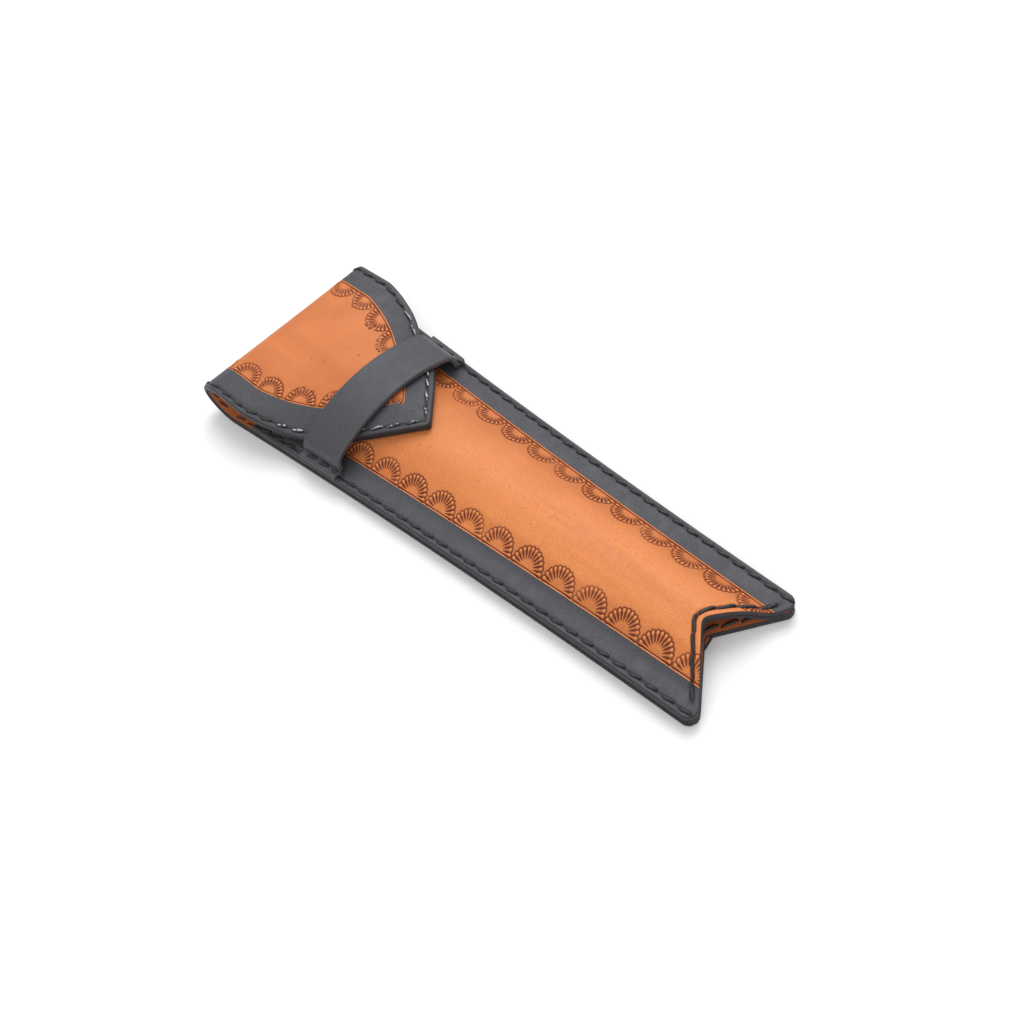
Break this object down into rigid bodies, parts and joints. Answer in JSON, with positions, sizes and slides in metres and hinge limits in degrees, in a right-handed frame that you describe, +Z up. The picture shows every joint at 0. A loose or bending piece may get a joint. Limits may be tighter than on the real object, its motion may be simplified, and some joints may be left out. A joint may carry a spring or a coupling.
{
  "type": "fountain pen case",
  "caption": "Slim leather sleeve for a fountain pen, with a domed pocket, forked tail, and a pointed fold-over flap that tucks under a sewn keeper strap.",
  "frame": {"origin": "centre of the overall box, on the flat underside that rests on the table", "axes": "+X along the case from the folded head to the forked tail, +Y across it, to the left of someone looking from head to tail with the flap up, +Z up from the table through the front"},
  "size_m": [0.1684, 0.0566, 0.0162],
  "materials": {
    "tooled_leather": "vegetable-tanned, stamped, satin",
    "lining_leather": "smooth lining leather, matte",
    "black_leather": "dyed, smooth, satin",
    "waxed_thread": "waxed"
  },
  "bodies": {
    "sleeve": {"back_panel": "tooled_leather", "back_lining": "lining_leather", "front_panel": "tooled_leather", "front_lining": "lining_leather", "keeper_strap": "black_leather", "fold_panel": "tooled_leather", "fold_lining": "lining_leather", "fold_thread": "waxed_thread", "left_seam_thread": "waxed_thread", "right_seam_thread": "waxed_thread", "front_tail_thread": "waxed_thread", "back_tail_thread": "waxed_thread", "mouth_thread": "waxed_thread"},
    "flap": {"flap_panel": "tooled_leather", "flap_lining": "lining_leather", "flap_thread": "waxed_thread"}
  },
  "joints": [
    {"name": "flap_hinge", "type": "hinge", "parent": "sleeve", "child": "flap", "pos_m": [-0.07698, 0, 0.00702], "axis": [0, -1, 0], "range_deg": [0, 175], "deforming": ["fold_panel", "fold_lining", "fold_thread", "keeper_strap"]}
  ]
}
